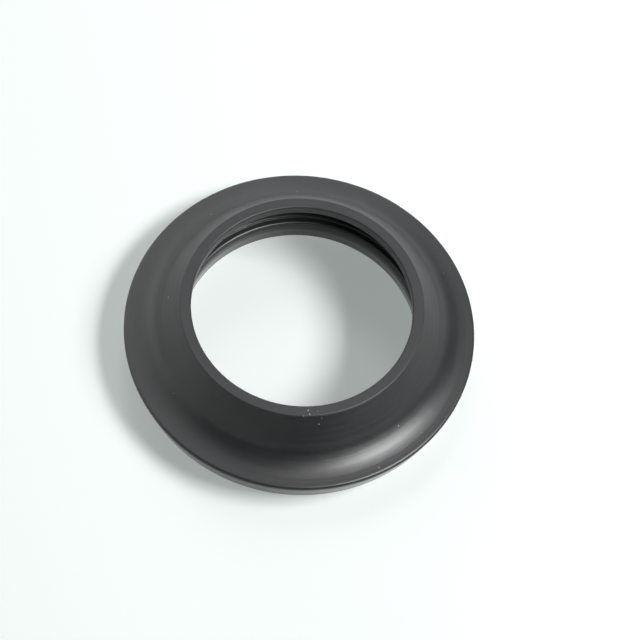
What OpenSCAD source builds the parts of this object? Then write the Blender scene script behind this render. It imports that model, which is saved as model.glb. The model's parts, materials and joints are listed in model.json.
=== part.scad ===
// Fork dust cap: one moulded rubber ring that slides on a fork tube and covers the top of the fork leg.
// The foot stands on Z = 0, the axis of the fork tube is Z, and the wiping lip is at the top.
// The whole ring is one section turned about Z. Lengths are millimetres, angles are degrees.

/* [Overall] */
// Diameter of the flange, the widest circle of the cap
flange_d = 58; // [52:1:66]
// Height from the foot to the top face of the lip
cap_h = 12.9; // [11.5:0.1:16.5]

/* [Wiping lip] */
// Diameter of the fork tube that the lip wipes, and of the bore through the lip
tube_d = 36; // [32:0.5:40]
// Width of the flat ring on top of the lip, from the bore to its outer edge
lip_w = 1.7; // [1.2:0.1:2.4]
// Thickness of the lip at the bore, from its top face to its underside
lip_t = 1.8; // [1.2:0.1:2.6]
// Rounding where the top face turns into the bore
lip_bore_r = 0.35; // [0.1:0.05:0.6]
// Rounding of the outer edge of the top face
lip_edge_r = 0.25; // [0.1:0.05:0.6]

/* [Flare] */
// Width of the flange's upper face, from the flange's edge in to the root of the flare
rim_w = 3.85; // [2.5:0.05:5]
// Slope of the flange's upper face, which falls towards the edge
rim_slope = 9; // [0:1:15]
// Radius of the hollow sweep between the steep neck and the flange
flare_r = 7; // [2:0.5:10]
// Thickness of the neck's wall behind the lip
neck_wall = 2; // [1.4:0.1:2.6]

/* [Flange edge and skirt] */
// Height of the skirt, from the foot up to the flange's edge
skirt_h = 4.5; // [3.8:0.1:5.2]
// How much the skirt tapers in from the flange's edge down to the foot, on the radius
skirt_taper = 1; // [0.5:0.05:2]
// Height of the flange's straight edge above the skirt
rim_t = 0.55; // [0.4:0.05:1.1]
// Rounding of the upper corner of the flange's edge
rim_top_r = 0.3; // [0.1:0.05:0.5]

/* [Inner lip and foot] */
// Gap between the fork tube and the tip of the inner lip
inner_lip_gap = 2.45; // [2:0.05:3]
// Height of the inner lip's tip above the foot, at the middle of the tip
inner_lip_z = 5.4; // [5.2:0.05:6.2]
// Thickness of the inner lip at its tip
inner_lip_t = 0.4; // [0.3:0.05:0.7]
// How much the inner lip's upper face rises from its tip to the hollow behind the wiping lip
inner_lip_rise = 0.45; // [0.2:0.05:1]
// Gap between the fork tube and the inner edge of the shelf below the inner lip
shelf_gap = 1.6; // [1.3:0.05:2]
// Height of the shelf above the foot
shelf_z = 4.8; // [4.5:0.05:4.9]
// Gap between the fork tube and the waist, the narrowest part of the inner wall
waist_gap = 1.45; // [1:0.05:1.8]
// Height of the top of the waist above the foot
waist_z = 3.9; // [3.5:0.05:4.2]
// Height of the lower end of the waist above the foot, where the inner wall starts to lean out
waist_low_z = 3; // [1.5:0.1:3.3]
// Gap between the fork tube and the inner edge of the foot
foot_gap = 1.9; // [1.8:0.05:2.4]
// Depth of the fine groove between the inner lip and the shelf, behind the lip's tip
groove_depth = 0.5; // [0.3:0.05:1]

/* [Hidden] */

bore_r = tube_d / 2;
flange_r = flange_d / 2;
lip_r = bore_r + lip_w;
inner_lip_r = bore_r + inner_lip_gap;
shelf_r = bore_r + shelf_gap;
waist_r = bore_r + waist_gap;
foot_r = bore_r + foot_gap;

// Root of the flare: where the neck's slope and the flange's upper face would meet without the sweep
root_r = flange_r - rim_w;
root_z = skirt_h + rim_t + rim_w * tan(rim_slope);

// Slope of the neck, from the root of the flare up to the outer edge of the lip
neck_angle = atan2(cap_h - root_z, root_r - lip_r);

// Heights inside: the lip thickens to its root, and the hollow behind it ends on the inner lip
lip_root_drop = 0.5;
hollow_top_z = cap_h - lip_t - lip_root_drop;
inner_lip_top_z = inner_lip_z + inner_lip_t / 2;
inner_lip_low_z = inner_lip_z - inner_lip_t / 2;
hollow_low_z = inner_lip_top_z + inner_lip_rise;
groove_z = (inner_lip_low_z + shelf_z) / 2;

// Small mould roundings inside
lip_under_r = 0.2;
hollow_fillet = 0.6;
tip_r = 0.18;
groove_fillet = 0.15;
shelf_edge_r = 0.35;
waist_round_r = 0.6;
foot_edge_r = 0.15;
skirt_top_r = 0.2;

// Largest turn, in degrees, between two points of a rounded corner
arc_step = 4;

// Radius of the hollow's wall at height z: the outside of the neck, less the wall's thickness
function hollow_r(z) = lip_r + (cap_h - z) / tan(neck_angle) - neck_wall / sin(neck_angle);

// The section's corners, each [radius, height, rounding], from the foot's outer edge round to its inner edge
section = [
    [flange_r - skirt_taper, 0, foot_edge_r],
    [flange_r, skirt_h, skirt_top_r],
    [flange_r, skirt_h + rim_t, rim_top_r],
    [root_r, root_z, flare_r],
    [lip_r, cap_h, lip_edge_r],
    [bore_r, cap_h, lip_bore_r],
    [bore_r, cap_h - lip_t, lip_under_r],
    [hollow_r(hollow_top_z), hollow_top_z, hollow_fillet],
    [hollow_r(hollow_low_z), hollow_low_z, hollow_fillet],
    [inner_lip_r, inner_lip_top_z, tip_r],
    [inner_lip_r, inner_lip_low_z, tip_r],
    [inner_lip_r + groove_depth, groove_z, groove_fillet],
    [shelf_r, shelf_z, shelf_edge_r],
    [waist_r, waist_z, waist_round_r],
    [waist_r, waist_low_z, waist_round_r],
    [foot_r, 0, foot_edge_r],
];

// A corner's place without its rounding
function place(corner) = [corner[0], corner[1]];

// Direction from one corner to another
function heading(from, to) = (place(to) - place(from)) / norm(place(to) - place(from));

// Half of the angle between the two sides that meet at corner b
function half_angle(a, b, c) = acos(max(-1, min(1, heading(b, a) * heading(b, c)))) / 2;

// Length that a corner's rounding takes from each of its sides
function side_use(a, b, c) = b[2] / tan(half_angle(a, b, c));

// Points of the arc that rounds corner b and takes the length use from each side
function corner_arc(a, b, c, use) =
    let (
        half = half_angle(a, b, c),
        r = use * tan(half),
        inward = (heading(b, a) + heading(b, c)) / norm(heading(b, a) + heading(b, c)),
        centre = place(b) + inward * r / sin(half),
        first = place(b) + heading(b, a) * use - centre,
        last = place(b) + heading(b, c) * use - centre,
        start = atan2(first[1], first[0]),
        turn = atan2(first[0] * last[1] - first[1] * last[0], first * last),
        steps = max(2, ceil(abs(turn) / arc_step))
    )
    [for (i = [0:steps]) centre + r * [cos(start + turn * i / steps), sin(start + turn * i / steps)]];

// An outline with its corners rounded. Two roundings on one side share it when it is too short for both.
function rounded(corners) =
    let (
        n = len(corners),
        wanted = [for (i = [0:n - 1]) side_use(corners[(i + n - 1) % n], corners[i], corners[(i + 1) % n])],
        share = [
            for (i = [0:n - 1])
                let (j = (i + 1) % n, side = norm(place(corners[j]) - place(corners[i])))
                min(1, 0.98 * side / (wanted[i] + wanted[j]))
        ]
    )
    [
        for (i = [0:n - 1])
            let (use = wanted[i] * min(share[i], share[(i + n - 1) % n]))
            each corner_arc(corners[(i + n - 1) % n], corners[i], corners[(i + 1) % n], use)
    ];

// The rubber ring
module dust_cap() {
    color("#2a2b2d")
        rotate_extrude($fn = 180)
            polygon(rounded(section));
}

dust_cap();
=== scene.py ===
"""A moulded rubber fork dust cap on a pale milky table, laid out as a Blender add-on.

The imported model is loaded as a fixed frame. One operator makes the rubber ring, which stands for the
plain solid in the frame, and one makes the stage: table, lamps, world and camera.
"""

import json
import math

import bpy
import numpy as np
from bpy.props import FloatProperty, FloatVectorProperty, IntProperty, PointerProperty
from mathutils import Matrix, Vector


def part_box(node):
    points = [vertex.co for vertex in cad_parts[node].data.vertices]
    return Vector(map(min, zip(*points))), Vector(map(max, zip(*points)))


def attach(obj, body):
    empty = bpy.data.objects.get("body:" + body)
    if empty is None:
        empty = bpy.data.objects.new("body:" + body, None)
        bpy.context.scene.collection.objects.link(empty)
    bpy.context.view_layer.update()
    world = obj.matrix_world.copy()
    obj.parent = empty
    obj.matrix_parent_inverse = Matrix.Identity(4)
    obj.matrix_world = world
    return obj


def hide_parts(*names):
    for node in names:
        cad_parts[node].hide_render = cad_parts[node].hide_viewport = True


bl_info = {
    "name": "Fork Dust Cap",
    "version": (1, 0, 0),
    "blender": (4, 5, 0),
    "location": "View3D > Sidebar > Dust Cap",
    "description": "Makes a moulded rubber fork dust cap and a plain studio stage for it",
    "category": "Add Mesh",
}

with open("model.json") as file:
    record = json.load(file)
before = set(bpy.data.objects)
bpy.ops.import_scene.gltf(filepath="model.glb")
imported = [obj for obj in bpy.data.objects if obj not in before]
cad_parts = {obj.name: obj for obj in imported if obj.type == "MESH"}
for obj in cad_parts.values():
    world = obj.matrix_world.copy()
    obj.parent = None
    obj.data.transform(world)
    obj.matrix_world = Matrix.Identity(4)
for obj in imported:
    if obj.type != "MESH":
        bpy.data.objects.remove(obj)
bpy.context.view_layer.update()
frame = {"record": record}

MM = 0.001
NODE = "dust_cap"
RING = "dust_cap_ring"

# Sizes that the frame gives: the ring's box and the bore that the lip wipes
LOW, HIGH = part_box(NODE)
BORE = next(mount for mount in frame["record"]["mounts"] if mount["name"] == "tube_bore")


def length(name, default_mm, description):
    """A size in millimetres as a property that Blender shows as a distance."""
    return FloatProperty(
        name=name, description=description, default=default_mm * MM, min=0.0, unit="LENGTH", precision=5
    )


class CapSizes(bpy.types.PropertyGroup):
    """Sizes of the ring's section, from the wiping lip down to the foot."""

    flange_d: length("Flange diameter", (HIGH.x - LOW.x) / MM, "Widest circle of the ring")
    cap_h: length("Height", (HIGH.z - LOW.z) / MM, "From the foot to the top face of the lip")
    tube_d: length("Tube diameter", 2 * BORE["dims"]["r_mm"], "Fork tube that the lip wipes")
    lip_w: length("Lip width", 1.7, "Flat ring on top of the lip")
    lip_t: length("Lip thickness", 1.8, "From the lip's top face to its underside, at the bore")
    lip_bore_r: length("Lip inner rounding", 0.35, "Rounding between the top face and the bore")
    lip_edge_r: length("Lip outer rounding", 0.25, "Rounding of the top face's outer edge")
    rim_w: length("Flange width", 3.85, "From the flange's edge in to the root of the flare")
    rim_slope: FloatProperty(
        name="Flange slope",
        description="Fall of the flange's upper face towards its edge",
        default=math.radians(9),
        subtype="ANGLE",
    )
    flare_r: length("Flare radius", 7.0, "Hollow sweep between the neck and the flange")
    neck_wall: length("Neck wall", 2.0, "Thickness of the neck behind the lip")
    skirt_h: length("Skirt height", 4.5, "From the foot up to the flange's edge")
    skirt_taper: length("Skirt taper", 1.0, "How far the skirt tapers in from the flange to the foot")
    rim_t: length("Flange edge height", 0.55, "Straight edge of the flange above the skirt")
    rim_top_r: length("Flange upper rounding", 0.5, "Upper corner of the flange's edge")
    inner_lip_gap: length("Inner lip gap", 2.45, "From the fork tube to the tip of the inner lip")
    inner_lip_z: length("Inner lip height", 5.4, "Middle of the inner lip's tip above the foot")
    inner_lip_t: length("Inner lip thickness", 0.4, "Thickness of the inner lip at its tip")
    inner_lip_rise: length("Inner lip rise", 0.45, "Rise from the tip to the hollow behind the lip")
    shelf_gap: length("Shelf gap", 1.6, "From the fork tube to the shelf below the inner lip")
    shelf_z: length("Shelf height", 4.8, "Height of the shelf above the foot")
    waist_gap: length("Waist gap", 1.45, "From the fork tube to the narrowest part of the inner wall")
    waist_z: length("Waist top", 3.9, "Top of the waist above the foot")
    waist_low_z: length("Waist lower end", 3.0, "Height from which the inner wall leans out")
    foot_gap: length("Foot gap", 1.9, "From the fork tube to the foot's inner edge")
    groove_depth: length("Groove depth", 0.5, "Groove between the inner lip and the shelf")
    lip_root_drop: length("Lip root drop", 0.5, "How much the lip thickens from the bore to its root")
    points_across: IntProperty(
        name="Points of the section",
        description="Points that divide the section's outline",
        default=316,
        min=60,
    )
    points_round: IntProperty(
        name="Points round the axis",
        description="Points on each circle of the ring",
        default=300,
        min=60,
    )


class RubberFinish(bpy.types.PropertyGroup):
    """Colour and surface of the moulded rubber."""

    colour: FloatVectorProperty(
        name="Colour",
        description="Black rubber, neutral to slightly cool",
        subtype="COLOR",
        size=3,
        min=0.0,
        max=1.0,
        default=(0.012, 0.0126, 0.014),
    )
    bloom_colour: FloatVectorProperty(
        name="Bloom colour",
        description="The slightly paler bloom that old rubber shows in patches",
        subtype="COLOR",
        size=3,
        min=0.0,
        max=1.0,
        default=(0.0195, 0.0202, 0.0215),
    )
    dust_colour: FloatVectorProperty(
        name="Dust colour",
        description="A few pale dust specks",
        subtype="COLOR",
        size=3,
        min=0.0,
        max=1.0,
        default=(0.3, 0.3, 0.29),
    )
    roughness: FloatProperty(
        name="Roughness",
        description="Roughness of the moulded faces",
        default=0.39,
        min=0.0,
        max=1.0,
        subtype="FACTOR",
    )
    lip_roughness: FloatProperty(
        name="Lip roughness",
        description="Roughness of the trimmed top face of the lip",
        default=0.55,
        min=0.0,
        max=1.0,
        subtype="FACTOR",
    )
    skirt_roughness: FloatProperty(
        name="Skirt roughness",
        description="Roughness of the smoother skirt, outside and inside",
        default=0.2,
        min=0.0,
        max=1.0,
        subtype="FACTOR",
    )


class StageLook(bpy.types.PropertyGroup):
    """Table, lamps and camera."""

    table_colour: FloatVectorProperty(
        name="Table colour",
        description="Pale table top",
        subtype="COLOR",
        size=3,
        min=0.0,
        max=1.0,
        default=(0.72, 0.75, 0.738),
    )
    # Painted glow of the table: an even emission that lifts its shadows in place of fill light, seen
    # directly or mirrored
    painted_table_glow: FloatVectorProperty(
        name="Table glow",
        description="Even glow of the milky table, also in the shadows, seen directly or mirrored",
        subtype="COLOR",
        size=3,
        min=0.0,
        max=1.0,
        default=(0.285, 0.313, 0.302),
    )
    world_colour: FloatVectorProperty(
        name="Room colour",
        description="Even light from the room round the table",
        subtype="COLOR",
        size=3,
        min=0.0,
        max=1.0,
        default=(0.03, 0.03, 0.03),
    )
    room_glow: FloatProperty(
        name="Room glow",
        description="Brightness of the room's bright side where the rubber mirrors it",
        default=2.2,
        min=0.0,
    )
    backdrop_colour: FloatVectorProperty(
        name="Backdrop colour",
        description="White that is seen behind the table",
        subtype="COLOR",
        size=3,
        min=0.0,
        max=1.0,
        default=(0.95, 0.97, 0.97),
    )
    camera_elevation: FloatProperty(
        name="Camera elevation",
        description="Height of the line of sight above the table",
        default=math.radians(63.3),
        subtype="ANGLE",
    )
    camera_roll: FloatProperty(
        name="Camera roll",
        description="Turn of the camera about its line of sight",
        default=math.radians(6.53),
        subtype="ANGLE",
    )
    camera_distance: length("Camera distance", 330.8, "From the camera to the middle of the rim")
    sensor_width: FloatProperty(
        name="Sensor width",
        description="Width of the camera's sensor, in millimetres",
        default=36.0,
    )


# Small roundings of the mould, in millimetres
FOOT_EDGE_R = 0.15
SKIRT_TOP_R = 0.2
LIP_UNDER_R = 0.2
HOLLOW_FILLET = 0.6
TIP_R = 0.18
GROOVE_FILLET = 0.15
SHELF_EDGE_R = 0.35
WAIST_ROUND_R = 0.6

# Points of each corner's arc before the outline is divided again
ARC_POINTS = 48
# Two roundings on one side leave this share of it straight between them
STRAIGHT_SHARE = 0.02
# Along the outline, a straight length in millimetres and a turn in degrees that ask for one point each
STRAIGHT_STEP = 0.35
TURN_STEP = 6.0

# Noise of the rubber, in repeats to a metre: patches of bloom, moulding grain and turning streaks
BLOOM_SCALE = 90.0
GRAIN_SCALE = 5200.0
STREAK_SCALE = 1500.0
# Height of the grain and of the streaks in metres, and how strongly each shows
GRAIN_RELIEF = (0.00001, 0.25)
STREAK_RELIEF = (0.0001, 0.4)
# How far the streaks change the roughness, up and down
STREAK_ROUGHNESS = 0.06
RUBBER_IOR = 1.47

# Dust: points to a metre in each direction, and the radius of a speck in millimetres
DUST_SCALE = 250.0
DUST_R = 0.13
# The dustiest spot, at the near side of the lip: its distance from the axis in millimetres, azimuth in
# degrees, height and radius in millimetres, and its own finer specks
DUSTY_SPOT = (19.6, -81.0, 12.5, 2.4)
SPOT_DUST_SCALE = 1000.0
SPOT_DUST_R = 0.12

# Half of the table's width, and the lamps' distance from the middle of the foot, in metres
TABLE_HALF = 2.0
LAMP_DISTANCE = 0.6
# Lamps that only matt surfaces see: name, azimuth and elevation in degrees seen from the ring, width and
# height in metres, and watts
MATT_LAMPS = [
    ("key_softbox", 3.0, 45.0, 0.3, 0.17, 3.95),
    ("back_softbox", 97.0, 42.0, 0.2, 0.2, 0.5),
    ("low_back_panel", 110.0, 16.0, 0.4, 0.12, 0.9),
    ("low_left_panel", 178.0, 14.0, 0.5, 0.12, 0.9),
]
# Lamps that only glossy surfaces see, as the lights and pale walls that the rubber mirrors, given likewise
MIRRORED_LAMPS = [
    ("front_softbox", -30.0, 48.0, 0.3, 0.32, 7.4),
    ("window", 172.0, 8.0, 0.9, 0.2, 0.6),
    ("front_wall", -125.0, 6.0, 0.7, 0.18, 0.3),
]
# The bright side of the room, which the rubber mirrors: behind the ring, to its left and above
ROOM_AXIS = (-0.4, 0.6, 0.7)
# Cosine between a direction and that side, from which the room starts to glow
ROOM_DUSK = 0.2

# Picture width and focal length in pixels, and the pixel where the middle of the rim's circle is seen
PICTURE_PX = 640
FOCAL_PX = 2000
RIM_MIDDLE_PX = (299.8, 327.2)
# Nearest distance that the camera shows, in metres
CAMERA_CLIP = 0.01


def section_corners(cap):
    """Corners of the section as rows of radius, height and rounding, in metres.

    They run from the foot's outer edge up the outside, over the lip and down the inside. The neck is
    the straight line from the root of the flare to the lip's outer edge, and the hollow behind the lip
    lies one neck wall inside that line.
    """
    bore_r = cap.tube_d / 2
    flange_r = cap.flange_d / 2
    lip_r = bore_r + cap.lip_w
    inner_lip_r = bore_r + cap.inner_lip_gap
    waist_r = bore_r + cap.waist_gap
    root_r = flange_r - cap.rim_w
    root_z = cap.skirt_h + cap.rim_t + cap.rim_w * math.tan(cap.rim_slope)
    neck_angle = math.atan2(cap.cap_h - root_z, root_r - lip_r)
    lip_low_z = cap.cap_h - cap.lip_t
    hollow_top_z = lip_low_z - cap.lip_root_drop
    tip_top_z = cap.inner_lip_z + cap.inner_lip_t / 2
    tip_low_z = cap.inner_lip_z - cap.inner_lip_t / 2
    hollow_low_z = tip_top_z + cap.inner_lip_rise
    groove_z = (tip_low_z + cap.shelf_z) / 2

    def hollow_r(z):
        return lip_r + (cap.cap_h - z) / math.tan(neck_angle) - cap.neck_wall / math.sin(neck_angle)

    return np.array([
        (flange_r - cap.skirt_taper, 0.0, FOOT_EDGE_R * MM),
        (flange_r, cap.skirt_h, SKIRT_TOP_R * MM),
        (flange_r, cap.skirt_h + cap.rim_t, cap.rim_top_r),
        (root_r, root_z, cap.flare_r),
        (lip_r, cap.cap_h, cap.lip_edge_r),
        (bore_r, cap.cap_h, cap.lip_bore_r),
        (bore_r, lip_low_z, LIP_UNDER_R * MM),
        (hollow_r(hollow_top_z), hollow_top_z, HOLLOW_FILLET * MM),
        (hollow_r(hollow_low_z), hollow_low_z, HOLLOW_FILLET * MM),
        (inner_lip_r, tip_top_z, TIP_R * MM),
        (inner_lip_r, tip_low_z, TIP_R * MM),
        (inner_lip_r + cap.groove_depth, groove_z, GROOVE_FILLET * MM),
        (bore_r + cap.shelf_gap, cap.shelf_z, SHELF_EDGE_R * MM),
        (waist_r, cap.waist_z, WAIST_ROUND_R * MM),
        (waist_r, cap.waist_low_z, WAIST_ROUND_R * MM),
        (bore_r + cap.foot_gap, 0.0, FOOT_EDGE_R * MM),
    ])


def rounded_outline(corners):
    """Closed outline of radius and height in which an arc replaces each corner.

    A rounding takes its radius over the tangent of half the corner's angle from each side, and two
    roundings share a side that is too short for both. The arc's centre lies on the bisector, and its
    points are the centre plus the radius times cosine and sine of evenly spaced angles.
    """
    place = corners[:, :2]
    to_last = np.roll(place, 1, axis=0) - place
    to_next = np.roll(place, -1, axis=0) - place
    side = np.linalg.norm(to_next, axis=1)
    to_last = to_last / np.linalg.norm(to_last, axis=1, keepdims=True)
    to_next = to_next / side[:, None]
    half = np.arccos(np.clip((to_last * to_next).sum(axis=1), -1, 1)) / 2
    wanted = corners[:, 2] / np.tan(half)
    share = np.minimum(1, (1 - STRAIGHT_SHARE) * side / (wanted + np.roll(wanted, -1)))
    use = (wanted * np.minimum(share, np.roll(share, 1)))[:, None]
    radius = use * np.tan(half)[:, None]
    inward = to_last + to_next
    inward = inward / np.linalg.norm(inward, axis=1, keepdims=True)
    centre = place + inward * radius / np.sin(half)[:, None]
    first = place + to_last * use - centre
    last = place + to_next * use - centre
    start = np.arctan2(first[:, 1], first[:, 0])[:, None]
    cross = first[:, 0] * last[:, 1] - first[:, 1] * last[:, 0]
    turn = np.arctan2(cross, (first * last).sum(axis=1))[:, None]
    angle = start + turn * np.linspace(0, 1, ARC_POINTS)
    arc = np.stack([np.cos(angle), np.sin(angle)], axis=2) * radius[:, :, None]
    return (centre[:, None] + arc).reshape(-1, 2)


def divided_outline(outline, count):
    """The same closed outline as count points, set closer where it bends.

    Each stretch weighs its length over the straight step plus the angle that it turns over the turn
    step, and the points divide the sum of these weights evenly.
    """
    ahead = np.roll(outline, -1, axis=0) - outline
    heading = np.arctan2(ahead[:, 1], ahead[:, 0])
    turned = np.abs(np.angle(np.exp(1j * (heading - np.roll(heading, 1)))))
    turned = (turned + np.roll(turned, -1)) / 2
    weight = np.linalg.norm(ahead, axis=1) / (STRAIGHT_STEP * MM) + turned / math.radians(TURN_STEP)
    way = np.concatenate([[0.0], np.cumsum(weight)])
    closed = np.vstack([outline, outline[:1]])
    at = np.linspace(0, way[-1], count, endpoint=False)
    return np.stack([np.interp(at, way, closed[:, axis]) for axis in (0, 1)], axis=1)


def turned_mesh(name, outline, count):
    """Mesh of a closed outline turned about Z.

    The point at step i of the outline and step j round the axis is (r cos a, r sin a, z), where r and z
    are the outline's and a is the whole turn times j over count. Both directions close on themselves.
    """
    angle = np.linspace(0, 2 * math.pi, count, endpoint=False)
    radius, height = outline[:, :1], outline[:, 1:]
    grid = np.stack(
        [radius * np.cos(angle), radius * np.sin(angle), height * np.ones_like(angle)], axis=2
    )
    rows = len(outline)
    i, j = np.meshgrid(np.arange(rows), np.arange(count), indexing="ij")
    i_next, j_next = (i + 1) % rows, (j + 1) % count
    quads = np.stack(
        [i * count + j, i * count + j_next, i_next * count + j_next, i_next * count + j], axis=2
    )
    mesh = bpy.data.meshes.new(name)
    mesh.vertices.add(rows * count)
    mesh.vertices.foreach_set("co", grid.astype(np.float32).ravel())
    mesh.loops.add(quads.size)
    mesh.loops.foreach_set("vertex_index", quads.astype(np.int32).ravel())
    mesh.polygons.add(rows * count)
    mesh.polygons.foreach_set("loop_start", np.arange(0, quads.size, 4, dtype=np.int32))
    mesh.polygons.foreach_set("use_smooth", np.ones(rows * count, dtype=bool))
    mesh.update(calc_edges=True)
    if mesh.validate():
        raise RuntimeError(f"the mesh {name} had faults")
    return mesh


def new_material(name):
    """A material with an empty node tree, and its tree and output."""
    material = bpy.data.materials.new(name)
    material.use_nodes = True
    tree = material.node_tree
    tree.nodes.clear()
    output = tree.nodes.new("ShaderNodeOutputMaterial")
    return material, tree, output


def add_node(tree, kind, **values):
    """A node whose sockets and settings are given by name, with a socket's spaces as underscores."""
    node = tree.nodes.new(kind)
    for key, value in values.items():
        socket = key.replace("_", " ")
        if socket in node.inputs:
            node.inputs[socket].default_value = value
        else:
            setattr(node, key, value)
    return node


def math_node(tree, operation, first, second=None):
    """A Math node of one operation on two links or numbers."""
    node = add_node(tree, "ShaderNodeMath", operation=operation)
    for index, value in enumerate((first, second)):
        if isinstance(value, bpy.types.NodeSocket):
            tree.links.new(value, node.inputs[index])
        elif value is not None:
            node.inputs[index].default_value = value
    return node.outputs[0]


def colour_inputs(mix):
    """The two colour sockets that a Mix node takes in."""
    return [socket for socket in mix.inputs if socket.type == "RGBA"]


def colour_output(mix):
    """The colour socket that a Mix node gives."""
    return next(socket for socket in mix.outputs if socket.type == "RGBA")


def specks(tree, place, scale, radius_mm):
    """1 where the nearest of random points, scale of them to a metre, is closer than the radius."""
    points = add_node(tree, "ShaderNodeTexVoronoi", Scale=scale)
    tree.links.new(place, points.inputs["Vector"])
    return math_node(tree, "LESS_THAN", points.outputs["Distance"], radius_mm * MM * scale)


def dusty_spot(tree, place):
    """1 inside the ball round the dustiest spot."""
    spot_r, azimuth, height, ball_r = DUSTY_SPOT
    turn = math.radians(azimuth)
    spot = Vector((spot_r * math.cos(turn), spot_r * math.sin(turn), height)) * MM
    away = add_node(tree, "ShaderNodeVectorMath", operation="DISTANCE")
    tree.links.new(place, away.inputs[0])
    away.inputs[1].default_value = spot
    return math_node(tree, "LESS_THAN", away.outputs["Value"], ball_r * MM)


def rubber_colour(tree, place, patches, finish):
    """Colour between the rubber's and the bloom's by the patches, with pale dust specks on top."""
    link = tree.links.new
    tone = add_node(tree, "ShaderNodeMix", data_type="RGBA")
    link(patches, tone.inputs["Factor"])
    colour_inputs(tone)[0].default_value = (*finish.colour, 1)
    colour_inputs(tone)[1].default_value = (*finish.bloom_colour, 1)
    sparse = specks(tree, place, DUST_SCALE, DUST_R)
    fine = specks(tree, place, SPOT_DUST_SCALE, SPOT_DUST_R)
    close = math_node(tree, "MULTIPLY", fine, dusty_spot(tree, place))
    dusty = add_node(tree, "ShaderNodeMix", data_type="RGBA")
    link(math_node(tree, "MAXIMUM", sparse, close), dusty.inputs["Factor"])
    link(colour_output(tone), colour_inputs(dusty)[0])
    colour_inputs(dusty)[1].default_value = (*finish.dust_colour, 1)
    return colour_output(dusty)


def rubber_relief(tree, place, patches, streaks):
    """Normal of the fine grain all over, and of the streaks where the patches are."""
    link = tree.links.new
    grain = add_node(tree, "ShaderNodeTexNoise", Scale=GRAIN_SCALE, Detail=3.0, Roughness=0.6)
    link(place, grain.inputs["Vector"])
    distance, strength = GRAIN_RELIEF
    grain_bump = add_node(tree, "ShaderNodeBump", Strength=strength, Distance=distance)
    link(grain.outputs[0], grain_bump.inputs["Height"])
    distance, strength = STREAK_RELIEF
    streak_bump = add_node(tree, "ShaderNodeBump", Strength=strength, Distance=distance)
    link(math_node(tree, "MULTIPLY", streaks, patches), streak_bump.inputs["Height"])
    link(grain_bump.outputs[0], streak_bump.inputs["Normal"])
    return streak_bump.outputs[0]


def rubber_roughness(tree, height, streaks, finish, cap):
    """Roughness that the streaks vary, duller on the trimmed top of the lip and smoother on the skirt."""
    link = tree.links.new
    streaky = add_node(tree, "ShaderNodeMapRange", From_Min=0.3, From_Max=0.7)
    link(streaks, streaky.inputs["Value"])
    streaky.inputs["To Min"].default_value = finish.roughness - STREAK_ROUGHNESS
    streaky.inputs["To Max"].default_value = finish.roughness + STREAK_ROUGHNESS
    on_lip = math_node(tree, "GREATER_THAN", height, cap.cap_h - cap.lip_edge_r)
    on_skirt = math_node(tree, "LESS_THAN", height, cap.waist_z)
    value = streaky.outputs[0]
    for where, roughness in ((on_lip, finish.lip_roughness), (on_skirt, finish.skirt_roughness)):
        mix = add_node(tree, "ShaderNodeMix", data_type="FLOAT")
        link(where, mix.inputs["Factor"])
        link(value, mix.inputs["A"])
        mix.inputs["B"].default_value = roughness
        value = mix.outputs[0]
    return value


def rubber(finish, cap):
    """Satin black rubber with a faint bloom, fine grain, turning streaks of the mould and a little dust.

    The bloom's patches are noise over space. A streak is noise over the distance from the axis and the
    height alone, so it runs round the ring.
    """
    material, tree, output = new_material("moulded_rubber")
    link = tree.links.new
    place = add_node(tree, "ShaderNodeTexCoord").outputs["Object"]
    split = add_node(tree, "ShaderNodeSeparateXYZ")
    link(place, split.inputs[0])
    height = split.outputs["Z"]
    flat = add_node(tree, "ShaderNodeCombineXYZ")
    link(split.outputs["X"], flat.inputs["X"])
    link(split.outputs["Y"], flat.inputs["Y"])
    radius = add_node(tree, "ShaderNodeVectorMath", operation="LENGTH")
    link(flat.outputs[0], radius.inputs[0])
    across = add_node(tree, "ShaderNodeCombineXYZ")
    link(radius.outputs["Value"], across.inputs["X"])
    link(height, across.inputs["Y"])

    bloom = add_node(tree, "ShaderNodeTexNoise", Scale=BLOOM_SCALE, Detail=5.0, Roughness=0.65)
    link(place, bloom.inputs["Vector"])
    patches = add_node(tree, "ShaderNodeMapRange", From_Min=0.35, From_Max=0.65)
    link(bloom.outputs[0], patches.inputs["Value"])
    streaks = add_node(tree, "ShaderNodeTexNoise", Scale=STREAK_SCALE, Detail=4.0, Roughness=0.65)
    link(across.outputs[0], streaks.inputs["Vector"])

    shader = add_node(tree, "ShaderNodeBsdfPrincipled", IOR=RUBBER_IOR)
    colour = rubber_colour(tree, place, patches.outputs[0], finish)
    relief = rubber_relief(tree, place, patches.outputs[0], streaks.outputs[0])
    roughness = rubber_roughness(tree, height, streaks.outputs[0], finish, cap)
    link(colour, shader.inputs["Base Color"])
    link(relief, shader.inputs["Normal"])
    link(roughness, shader.inputs["Roughness"])
    link(shader.outputs["BSDF"], output.inputs["Surface"])
    return material


def table_top(stage):
    """Pale milky table: a matt colour, and a painted glow, an even emission that lifts the table and its
    shadows in place of fill light.

    Only the camera, glossy faces and glass see the painted glow. The ring mirrors it, but it sheds no
    light on the ring's matt colour.
    """
    material, tree, output = new_material("milky_table")
    link = tree.links.new
    matt = add_node(tree, "ShaderNodeBsdfDiffuse", Color=(*stage.table_colour, 1))
    # Painted glow: an even emission that lifts the table's shadows in place of fill light
    glow = add_node(tree, "ShaderNodeEmission", Color=(*stage.painted_table_glow, 1))
    rays = tree.nodes.new("ShaderNodeLightPath").outputs
    straight = math_node(tree, "MAXIMUM", rays["Is Camera Ray"], rays["Is Transmission Ray"])
    link(math_node(tree, "MAXIMUM", straight, rays["Is Glossy Ray"]), glow.inputs["Strength"])
    both = add_node(tree, "ShaderNodeAddShader")
    link(matt.outputs[0], both.inputs[0])
    link(glow.outputs[0], both.inputs[1])
    link(both.outputs[0], output.inputs["Surface"])
    return material


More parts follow.
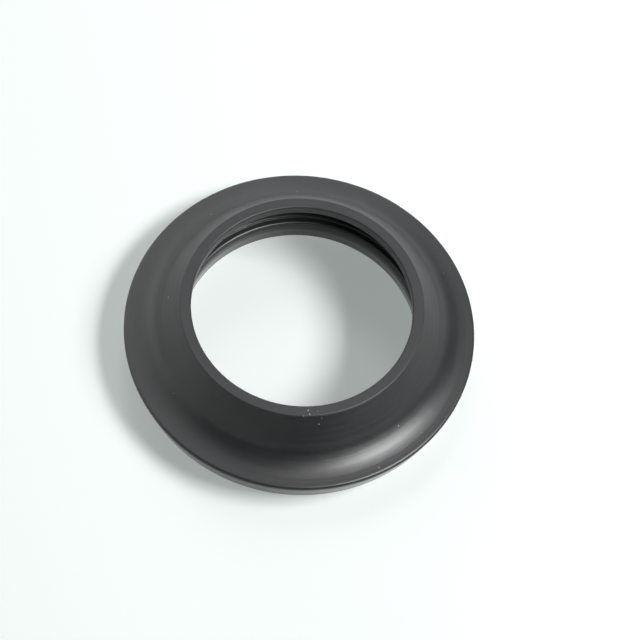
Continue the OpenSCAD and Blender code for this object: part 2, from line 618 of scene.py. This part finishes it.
def soft_lamp(name, azimuth, elevation, width, height, watts):
    """Area lamp that faces the ring. Azimuth 0 is +X and 90 is +Y, away from the camera."""
    turn, rise = math.radians(azimuth), math.radians(elevation)
    away = Vector((math.cos(turn) * math.cos(rise), math.sin(turn) * math.cos(rise), math.sin(rise)))
    light = bpy.data.lights.new(name, "AREA")
    light.shape = "RECTANGLE"
    light.size, light.size_y = width, height
    light.energy = watts
    lamp = bpy.data.objects.new(name, light)
    facing = away.to_track_quat("Z", "Y").to_matrix().to_4x4()
    lamp.matrix_world = Matrix.Translation(away * LAMP_DISTANCE) @ facing
    bpy.context.scene.collection.objects.link(lamp)
    return lamp


def room(stage):
    """Room round the table: white behind the table, an even light on matt faces, and for glossy faces
    a glow that grows with the cosine between the direction and the room's bright side."""
    world = bpy.data.worlds.new("room")
    world.use_nodes = True
    tree = world.node_tree
    tree.nodes.clear()
    link = tree.links.new
    output = tree.nodes.new("ShaderNodeOutputWorld")
    rays = tree.nodes.new("ShaderNodeLightPath").outputs
    direction = tree.nodes.new("ShaderNodeTexCoord").outputs["Generated"]
    cosine = add_node(tree, "ShaderNodeVectorMath", operation="DOT_PRODUCT")
    link(direction, cosine.inputs[0])
    cosine.inputs[1].default_value = Vector(ROOM_AXIS).normalized()
    glow = add_node(tree, "ShaderNodeMapRange", From_Min=ROOM_DUSK, From_Max=1.0, To_Min=0.0)
    glow.inputs["To Max"].default_value = stage.room_glow
    link(cosine.outputs["Value"], glow.inputs["Value"])
    bright = add_node(tree, "ShaderNodeBackground", Color=(1, 1, 1, 1))
    link(glow.outputs[0], bright.inputs["Strength"])
    even = add_node(tree, "ShaderNodeBackground", Color=(*stage.world_colour, 1))
    white = add_node(tree, "ShaderNodeBackground", Color=(*stage.backdrop_colour, 1))
    seen = add_node(tree, "ShaderNodeMixShader")
    link(rays["Is Glossy Ray"], seen.inputs[0])
    link(even.outputs[0], seen.inputs[1])
    link(bright.outputs[0], seen.inputs[2])
    behind = add_node(tree, "ShaderNodeMixShader")
    link(math_node(tree, "MAXIMUM", rays["Is Camera Ray"], rays["Is Transmission Ray"]), behind.inputs[0])
    link(seen.outputs[0], behind.inputs[1])
    link(white.outputs[0], behind.inputs[2])
    link(behind.outputs[0], output.inputs["Surface"])
    return world


def camera_place(stage, rim_z):
    """World matrix of the camera.

    The line of sight to the middle of the rim meets the picture beside its centre. The world turn gives
    right, down and along that line, the roll turns them about the line, and the tip leans the line from
    the picture's centre to the pixel where the middle is seen. The rows of their product are the
    camera's right, down and forward, and it stands back from the middle along the line.
    """
    offset = np.array(RIM_MIDDLE_PX) - PICTURE_PX / 2
    ray = np.array([*offset, FOCAL_PX])
    stretch = np.linalg.norm(ray) / FOCAL_PX
    ray = ray / np.linalg.norm(ray)
    sin_el, cos_el = math.sin(stage.camera_elevation), math.cos(stage.camera_elevation)
    world_turn = np.array([(1, 0, 0), (0, -sin_el, -cos_el), (0, cos_el, -sin_el)])
    sin_roll, cos_roll = math.sin(stage.camera_roll), math.cos(stage.camera_roll)
    roll = np.array([(cos_roll, -sin_roll, 0), (sin_roll, cos_roll, 0), (0, 0, 1)])
    axis = np.cross((0, 0, 1), ray)
    skew = np.array([(0, -axis[2], axis[1]), (axis[2], 0, -axis[0]), (-axis[1], axis[0], 0)])
    tip = np.eye(3) + skew + skew @ skew / (1 + ray[2])
    rows = tip @ roll @ world_turn
    location = -rows.T @ ray * stage.camera_distance * stretch + (0, 0, rim_z)
    place = np.eye(4)
    place[:3, :3] = np.stack([rows[0], -rows[1], -rows[2]], axis=1)
    place[:3, 3] = location
    return Matrix(place.tolist())


def table(stage):
    """Flat square table that the ring stands on."""
    corners = [(x * TABLE_HALF, y * TABLE_HALF, 0) for x, y in ((-1, -1), (1, -1), (1, 1), (-1, 1))]
    mesh = bpy.data.meshes.new("table")
    mesh.from_pydata(corners, [], [(0, 1, 2, 3)])
    mesh.materials.append(table_top(stage))
    return bpy.data.objects.new("table", mesh)


def studio_camera(stage, rim_z):
    """Camera that sees the ring as the picture does, with the rim's widest circle at height rim_z."""
    data = bpy.data.cameras.new("camera")
    data.sensor_width = stage.sensor_width
    data.lens = FOCAL_PX / PICTURE_PX * stage.sensor_width
    data.clip_start = CAMERA_CLIP
    camera = bpy.data.objects.new("camera", data)
    camera.matrix_world = camera_place(stage, rim_z)
    return camera


class DUSTCAP_OT_rubber_ring(bpy.types.Operator):
    """Make the moulded rubber ring and let it stand for the plain solid"""

    bl_idname = "dustcap.rubber_ring"
    bl_label = "Rubber ring"

    def execute(self, context):
        cap = context.scene.cap_sizes
        outline = rounded_outline(section_corners(cap))
        outline = divided_outline(outline, cap.points_across)
        ring = bpy.data.objects.new(RING, turned_mesh(RING, outline, cap.points_round))
        context.scene.collection.objects.link(ring)
        ring.data.materials.append(rubber(context.scene.rubber_finish, cap))
        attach(ring, "root")
        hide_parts(NODE)
        return {"FINISHED"}


class DUSTCAP_OT_stage(bpy.types.Operator):
    """Make the pale table, the soft lamps, the room's light and the camera"""

    bl_idname = "dustcap.stage"
    bl_label = "Stage"

    def execute(self, context):
        scene = context.scene
        stage = scene.stage_look
        floor = table(stage)
        scene.collection.objects.link(floor)
        for lamp in MATT_LAMPS:
            soft_lamp(*lamp).visible_glossy = False
        for lamp in MIRRORED_LAMPS:
            soft_lamp(*lamp).visible_diffuse = False
        scene.world = room(stage)
        scene.camera = studio_camera(stage, scene.cap_sizes.skirt_h)
        scene.collection.objects.link(scene.camera)
        scene.view_settings.view_transform = "Standard"
        return {"FINISHED"}


class DUSTCAP_PT_panel(bpy.types.Panel):
    """Sizes and operators in the 3D view's sidebar"""

    bl_idname = "DUSTCAP_PT_panel"
    bl_label = "Fork Dust Cap"
    bl_space_type = "VIEW_3D"
    bl_region_type = "UI"
    bl_category = "Dust Cap"

    def draw(self, context):
        for group in (context.scene.cap_sizes, context.scene.rubber_finish, context.scene.stage_look):
            column = self.layout.column(align=True)
            for name in group.__annotations__:
                column.prop(group, name)
        self.layout.operator(DUSTCAP_OT_rubber_ring.bl_idname)
        self.layout.operator(DUSTCAP_OT_stage.bl_idname)


CLASSES = (
    CapSizes,
    RubberFinish,
    StageLook,
    DUSTCAP_OT_rubber_ring,
    DUSTCAP_OT_stage,
    DUSTCAP_PT_panel,
)


def register():
    """Make the classes and the scene's settings known to Blender."""
    for entry in CLASSES:
        bpy.utils.register_class(entry)
    bpy.types.Scene.cap_sizes = PointerProperty(type=CapSizes)
    bpy.types.Scene.rubber_finish = PointerProperty(type=RubberFinish)
    bpy.types.Scene.stage_look = PointerProperty(type=StageLook)


def unregister():
    """Take the settings and the classes out again."""
    del bpy.types.Scene.stage_look
    del bpy.types.Scene.rubber_finish
    del bpy.types.Scene.cap_sizes
    for entry in reversed(CLASSES):
        bpy.utils.unregister_class(entry)


def main():
    """Build the ring and the stage."""
    register()
    bpy.ops.dustcap.rubber_ring()
    bpy.ops.dustcap.stage()


if __name__ == "__main__":
    main()
